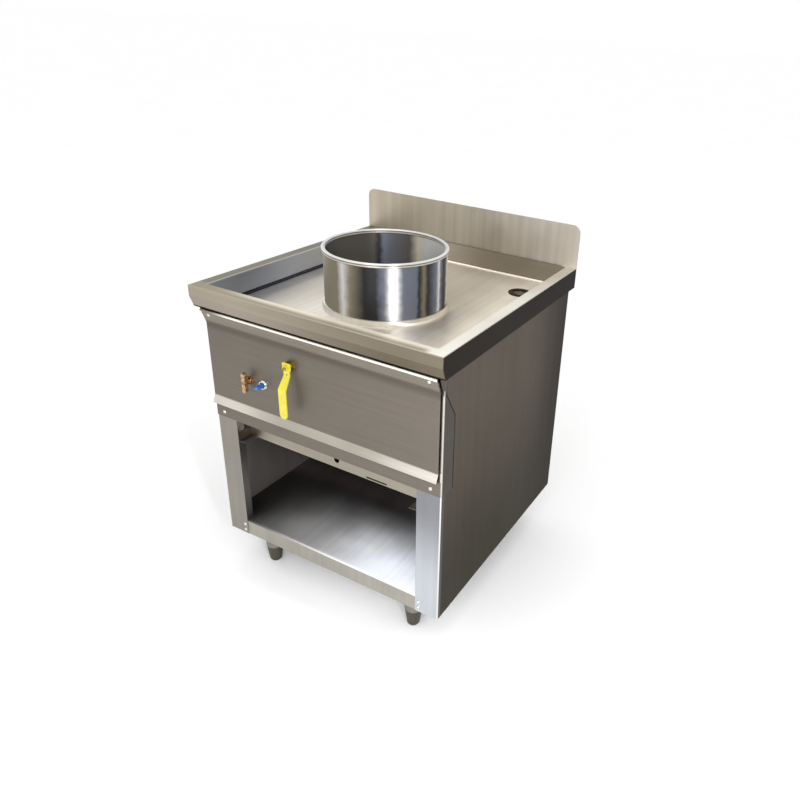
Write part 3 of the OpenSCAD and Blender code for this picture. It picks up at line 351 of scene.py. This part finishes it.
def deck_finish():
    """Deck: brushed from front to back, which pulls reflections out far. It is painted darker to the rear and
    the left as painted shade, and stays pale on the right."""
    return brushed_stainless("deck_stainless", "#f6f1e6", rough=0.42, pull=0.95, smear=DEPTH_SMEAR,
                             lines=DEPTH_LINES, tones=[
                                 # Painted shade to the rear and the left
                                 ("#d2cabb", None, (DEEP, -0.25, 0.10)),
                                 ("#f2e9d9", None, (ACROSS, 0.12, 0.32)),
                                 ("#d3cec3", None, (ACROSS, -0.10, -0.30))])


def splashback_finish():
    """Splashback: brushed upright, painted paler to the right as painted light, with its top and right edges
    painted dark as painted shade.
    """
    return brushed_stainless("splashback_stainless", "#bbb19e", rough=0.42, lines=UPRIGHT_LINES,
                             line_depth=0.10, tones=[
                                 # Painted light to the right and painted shade on the top and right edges
                                 ("#d6d0c6", None, (ACROSS, -0.30, 0.40)),
                                 ("#453b33", TOP),
                                 ("#453b33", RIGHT)])


def panel_finish():
    """Control panel, painted with light and shade: the hem is painted white as a painted highlight, a band of
    painted shade lies along the bend and the strip above it is painted a shade lighter as painted light, the
    flared band is painted pale as painted light, more so at its ends, the right cheek is painted dark as
    shade with a painted highlight on its rounded front fold, and a painted shadow line follows the clipped
    and the rear edges of the right cheek."""
    hem = (UP, HEM_FOOT, HEM_FOOT + 3 * MM)
    band = (UP, BAND_TOP, BAND_TOP - 6 * MM)
    on_cheek = (ACROSS, PANEL_HIGH.x - 6.5 * MM, PANEL_HIGH.x - 2.5 * MM)
    clipped_edge = (CLIP, 0.1125, 0.1140)
    rear_edge = (DEEP, PANEL_HIGH.y - 5 * MM, PANEL_HIGH.y - 3.5 * MM)
    return brushed_stainless("panel_stainless", "#7b746a", rough=0.50, pull=0.2, tones=[
        # Painted shade along the bend and painted light on the strip above it
        ("#69625a", None, (UP, STRIP_FOLD - 23 * MM, STRIP_FOLD - 2 * MM)),
        ("#8d857a", None, (UP, STRIP_FOLD + 2 * MM, STRIP_FOLD + 14 * MM)),
        # Painted highlight on the hem
        ("#fffaf0", None, hem, (ACROSS, -0.35, -0.27)),
        # Painted light on the flared band, more at its ends
        ("#d4cec4", None, band),
        ("#b2aca0", None, band, (ACROSS, -0.32, -0.08), (ACROSS, 0.34, 0.12)),
        ("#7b746a", None, (UP, BAND_FOOT, BAND_FOOT - 3 * MM)),
        # The cheek's right face painted dark as shade, with a painted highlight on its rounded fold
        ("#4f4b46", RIGHT),
        ("#c9c5bd", CORNER),
        # Painted shadow lines along the cheek's clipped and rear edges
        ("#0f0e0d", RIGHT, on_cheek, clipped_edge),
        ("#0f0e0d", RIGHT, on_cheek, rear_edge)])


def right_post_finish():
    """Right post: brushed upright, painted bright near the floor as painted light, with a painted highlight
    on its corner and its outer side painted dark as shade.
    """
    return brushed_stainless("right_post_stainless", "#c0c4c8", smear=LEVEL_SMEAR, lines=UPRIGHT_LINES,
                             tones=[
                                 # Painted light near the floor, painted shade on the outer side and a painted
                                 # highlight on the corner
                                 ("#87888c", None, (UP, 0.22, 0.50)),
                                 ("#47423e", RIGHT),
                                 ("#e8e8e8", CORNER)])


def right_side_finish():
    """Right side: brushed upright and greasy, painted dark as shade, with painted light towards its top and
    painted shade to the rear.
    """
    return brushed_stainless("right_side_stainless", "#524e46", rough=0.36, film=0.5, lines=UPRIGHT_LINES,
                             tones=[
                                 # Painted light towards the top and painted shade to the rear
                                 ("#6b635b", None, (UP, 0.20, 0.80)),
                                 ("#433d38", None, (DEEP, 0.10, 0.45))])


def shelf_finish():
    """Shelf: brushed from front to back, painted white at the front right as painted light and painted dark
    to the rear and the left as painted shade, a little less dark at the far rear, with the front of its lip
    painted darker."""
    on_lip = (UP, SHELF_HIGH.z - 2 * MM, SHELF_HIGH.z - 6 * MM)
    return brushed_stainless("shelf_stainless", "#ffffff", rough=0.6, smear=DEPTH_SMEAR, lines=DEPTH_LINES,
                             cloud=0.10, tones=[
                                 # Painted shade to the rear and the left, a little less dark at the far rear
                                 ("#252122", None, (DEEP, -0.33, -0.03)),
                                 ("#3f3e3e", None, (ACROSS, 0.05, -0.36)),
                                 ("#625c5b", None, (DEEP, -0.12, -0.04)),
                                 ("#aeaaa1", FRONT, on_lip)])


dress(worktop_finish(), "worktop")
dress(deck_finish(), "deck")
dress(splashback_finish(), "splashback")
dress(panel_finish(), "control_panel")
dress(right_post_finish(), "post_right")
dress(right_side_finish(), "side_panel_right")
dress(shelf_finish(), "bottom_shelf")
dress(polished_ring(), "wok_ring")

# Sheets with little or no change of tone
dress(brushed_stainless("left_post_stainless", "#908b82", smear=LEVEL_SMEAR, lines=UPRIGHT_LINES),
      "post_left")
# Painted light: the left side's inner face, which looks right, is lighter
dress(brushed_stainless("left_side_stainless", "#665d57", rough=0.6, lines=UPRIGHT_LINES,
                        tones=[("#c4bcb6", RIGHT)]), "side_panel_left")
# Painted light: the back panel's front face is lighter
dress(brushed_stainless("back_stainless", "#6b655e", rough=0.6, tones=[("#e0d8d2", FRONT)]), "back_panel")
dress(brushed_stainless("tray_stainless", "#9e988b", rough=0.36), "drip_tray")
dress(brushed_stainless("runner_stainless", "#77716a", rough=0.5), "tray_runner_left", "tray_runner_right")
dress(brushed_stainless("frame_stainless", "#8c887f", rough=0.42),
      "deck_bearer_front", "deck_bearer_rear", "leg_sockets")
dress(brushed_stainless("hearth_heat_tinted", "#e2dacb", rough=0.45, cloud=0.15), "hearth")
dress(brushed_stainless("foot_satin_steel", "#5e5951", rough=0.4),
      "foot_front_left", "foot_front_right", "foot_rear_left", "foot_rear_right")
dress(brushed_stainless("drain_satin_steel", "#2f2b26", rough=0.38), "drain_body")
dress(brushed_stainless("strainer_satin_steel", "#a89f90", rough=0.38), "drain_strainer")

# Castings, brass, plated steel, coatings and plastics
dress(mottled("burner_cast_iron", "#2b2b2c", "#3a3735", rough=0.75, metallic=0.6, bump=0.5),
      "burner_spider", "burner_bowl", "mixing_tube")
dress(mottled("crown_dull_brass", "#7d6238", "#5c4a31", rough=0.5, metallic=1.0), "burner_crown")
dress(mottled("fitting_brass", "#dcb98f", "#8c6a4a", rough=0.18, metallic=1.0, cell_mm=9),
      "injector", "valve_body", "pilot_cock_body", "pilot_cock_nut", "pilot_cock_wing", "pilot_burner")
dress(mottled("valve_nut_brass", "#b5a53f", "#938431", rough=0.30, metallic=1.0, cell_mm=9),
      "valve_panel_nut", "valve_stem")
dress(mottled("pipe_satin_steel", "#8d8a84", "#7a766f", rough=0.45, metallic=1.0), "feed_pipe", "inlet_pipe")
dress(mottled("zinc_plate", "#b4b3ad", "#9d9b93", rough=0.4, metallic=1.0), "air_shutter", "drain_nut")
dress(mottled("lever_yellow_coat", "#d2c836", "#c8bc2f", rough=0.38, metallic=0.0, coat=0.3),
      "valve_lever", "lever_nut")
dress(mottled("bright_screw_steel", "#dedbd4", "#c9c5bd", rough=0.22, metallic=1.0, cell_mm=4),
      "panel_screws", "shelf_screws")
dress(mottled("drawn_copper", "#b87a55", "#9c6243", rough=0.34, metallic=1.0),
      "pilot_supply_tube", "pilot_tube")
dress(mottled("glazed_ceramic", "#efece3", "#e6e1d6", rough=0.2, metallic=0.0), "spark_electrode")
dress(mottled("silicone_lead", "#1d1c1c", "#282625", rough=0.6, metallic=0.0), "ignition_lead")
dress(mottled("black_moulding", "#161617", "#202021", rough=0.5, metallic=0.0), "igniter_body")
dress(mottled("bezel_chrome", "#dadcdd", "#cfd1d2", rough=0.08, metallic=1.0), "igniter_bezel")
dress(mottled("button_blue", "#2f63b5", "#2a58a3", rough=0.25, metallic=0.0, coat=0.4), "igniter_button")


# Pieces made here: folds and coves too fine for the solids

def finish_piece(name, mesh, material):
    """Turns a finished mesh into a piece that stands with the cabinet."""
    bmesh.ops.recalc_face_normals(mesh, faces=mesh.faces)
    data = bpy.data.meshes.new(name)
    mesh.to_mesh(data)
    mesh.free()
    data.materials.append(material)
    piece = bpy.data.objects.new(name, data)
    bpy.context.scene.collection.objects.link(piece)
    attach(piece, BASE_BODY)


def build_post_head(name, side, material):
    """The top of a post's side leg, cut to the slope of the panel's strip, which closes the corner under the
    worktop. side is 1 on the right and -1 on the left."""
    back = SIDE_LOW.y - 0.5 * MM
    front = SIDE_LOW.y - 13 * MM
    nose = SIDE_LOW.y - 31.5 * MM
    head = NOSE_FOOT - 1 * MM
    shoulder = NOSE_FOOT - 7.5 * MM
    knee = NOSE_FOOT - 59.5 * MM
    foot = NOSE_FOOT - 67.5 * MM
    outline = [(back, foot), (front, foot), (front, knee), (nose, shoulder), (nose, head), (back, head)]
    inner = SIDE_LOW.x - 0.1 * MM
    thick = 1.4 * MM
    mesh = bmesh.new()
    face = mesh.faces.new([mesh.verts.new((side * inner, y, z)) for y, z in outline])
    grown = bmesh.ops.extrude_face_region(mesh, geom=[face])["geom"]
    rim = [part for part in grown if isinstance(part, bmesh.types.BMVert)]
    bmesh.ops.translate(mesh, verts=rim, vec=(side * thick, 0, 0))
    bmesh.ops.bevel(mesh, geom=mesh.edges[:], offset=0.3 * MM, segments=2, profile=0.5, affect="EDGES",
                    material=-1)
    finish_piece(name, mesh, material)


def build_pan_cove(material):
    """The rounded corner between the sunken deck and the pan's walls: a box in the pan whose lower edges are
    bevelled, of which only the bevel stays, with the thickness of a ground weld."""
    clear = 0.2 * MM
    sheet = 1.5 * MM
    box_height = 20 * MM
    cove_r = 7 * MM
    thick = 0.6 * MM
    floor_z = PAN_LOW.z + sheet + clear
    low = Vector((PAN_LOW.x + clear, PAN_LOW.y + clear, floor_z))
    high = Vector((PAN_HIGH.x - clear, PAN_HIGH.y - clear, floor_z + box_height))
    mesh = bmesh.new()
    bmesh.ops.create_cube(mesh, size=1.0)
    bmesh.ops.scale(mesh, vec=high - low, verts=mesh.verts)
    bmesh.ops.translate(mesh, vec=(low + high) / 2, verts=mesh.verts)
    floor_edges = [edge for edge in mesh.edges if all(vert.co.z < low.z + MM for vert in edge.verts)]
    made = bmesh.ops.bevel(mesh, geom=floor_edges, offset=cove_r, segments=5, profile=0.5, affect="EDGES",
                           material=-1)
    cove = set(made["faces"])
    bmesh.ops.delete(mesh, geom=[face for face in mesh.faces if face not in cove], context="FACES")
    bmesh.ops.recalc_face_normals(mesh, faces=mesh.faces)
    bmesh.ops.solidify(mesh, geom=mesh.faces[:], thickness=thick)
    finish_piece("pan_cove", mesh, material)


# Painted shade: the post heads are dark, and darker on top, where they stand under the worktop
corner_sheet = brushed_stainless("corner_stainless", "#534b46", lines=UPRIGHT_LINES, tones=[("#4a433e", TOP)])
build_post_head("post_head_left", -1, corner_sheet)
build_post_head("post_head_right", 1, corner_sheet)

in_left_corner = (ACROSS, PAN_LOW.x + 25 * MM, PAN_LOW.x + 8 * MM)
build_pan_cove(brushed_stainless("cove_ground_weld", "#fff8ea", rough=0.25,
                                 tones=[("#33333b", None, in_left_corner)]))


# Floor, light and camera

def build_floor():
    """A pale floor, level with the feet and so wide that its edge is never in view."""
    half_width = 200.0
    mesh = bmesh.new()
    bmesh.ops.create_grid(mesh, x_segments=2, y_segments=2, size=half_width)
    data = bpy.data.meshes.new("floor")
    mesh.to_mesh(data)
    mesh.free()
    floor = bpy.data.objects.new("floor", data)
    bpy.context.scene.collection.objects.link(floor)
    data.materials.append(mottled("floor_paint", "#ffffff", "#fefefe", rough=0.9, metallic=0.0, cell_mm=900,
                                  bump=0.0))


def soft_light(name, place, target, size, watts, tint):
    """An area light of a width and a height, aimed at a point."""
    light = bpy.data.lights.new(name, "AREA")
    light.shape = "RECTANGLE"
    light.size, light.size_y = size
    light.energy = watts
    light.color = linear(tint)[:3]
    lamp = bpy.data.objects.new(name, light)
    lamp.location = place
    lamp.rotation_euler = (Vector(target) - Vector(place)).to_track_quat("-Z", "Y").to_euler()
    lamp.visible_camera = False
    bpy.context.scene.collection.objects.link(lamp)


def build_light():
    """An even white sky, a wide key light high in front, a narrow upright strip beside the camera that draws
    a bright line on round pieces, and two low lights that reach into the open shelf."""
    world = bpy.data.worlds.new("studio")
    world.use_nodes = True
    background = world.node_tree.nodes["Background"]
    background.inputs["Color"].default_value = linear("#ffffff")
    background.inputs["Strength"].default_value = 1.0
    scene = bpy.context.scene
    scene.world = world
    scene.view_settings.view_transform = "Standard"
    soft_light("key", place=(-0.4, -3.0, 3.6), target=(0, 0, 0.6), size=(4.5, 4.5), watts=18, tint="#fff8ee")
    soft_light("strip", place=(1.6, -1.5, 1.35), target=(0, 0, 0.95), size=(0.10, 0.9), watts=16,
               tint="#ffffff")
    soft_light("shelf_fill", place=(0.5, -1.9, 0.9), target=(0, 0, 0.2), size=(0.8, 0.8), watts=8,
               tint="#f2f5ff")
    soft_light("shelf_lamp", place=(0.12, -0.27, 0.43), target=(0.12, -0.42, 0.17), size=(0.3, 0.08),
               watts=0.4, tint="#e6eeff")


# The camera, fitted to the object's corners with little shift, so that other views keep the object in frame.
# Lengths in pixels are those of a square image.
IMAGE = 800
FOCAL_PX = 703.57
AXIS_PX = (496.0, 355.47)
CAMERA_PLACE = (1.1227, -1.6176, 1.6068)
CAMERA_YAW = math.radians(-26.0033)
CAMERA_PITCH = math.radians(-24.8486)
CAMERA_ROLL = math.radians(3.7653)


def build_camera():
    """The photo's camera: its place, aim, roll and focal length, with the optical axis a little off the
    image's middle."""
    level_aim = Vector((math.sin(CAMERA_YAW), math.cos(CAMERA_YAW), 0))
    aim = math.cos(CAMERA_PITCH) * level_aim + math.sin(CAMERA_PITCH) * Vector(UP)
    level = Vector((math.cos(CAMERA_YAW), -math.sin(CAMERA_YAW), 0))
    upright = level.cross(aim)
    right = math.cos(CAMERA_ROLL) * level + math.sin(CAMERA_ROLL) * upright
    up = right.cross(aim)
    data = bpy.data.cameras.new("camera")
    data.sensor_width = 36
    data.lens = FOCAL_PX / IMAGE * data.sensor_width
    data.shift_x = (IMAGE / 2 - AXIS_PX[0]) / IMAGE
    data.shift_y = (AXIS_PX[1] - IMAGE / 2) / IMAGE
    camera = bpy.data.objects.new("camera", data)
    turn = Matrix((right, up, -aim)).transposed().to_4x4()
    camera.matrix_world = Matrix.Translation(CAMERA_PLACE) @ turn
    bpy.context.scene.collection.objects.link(camera)
    bpy.context.scene.camera = camera


build_floor()
build_light()
build_camera()
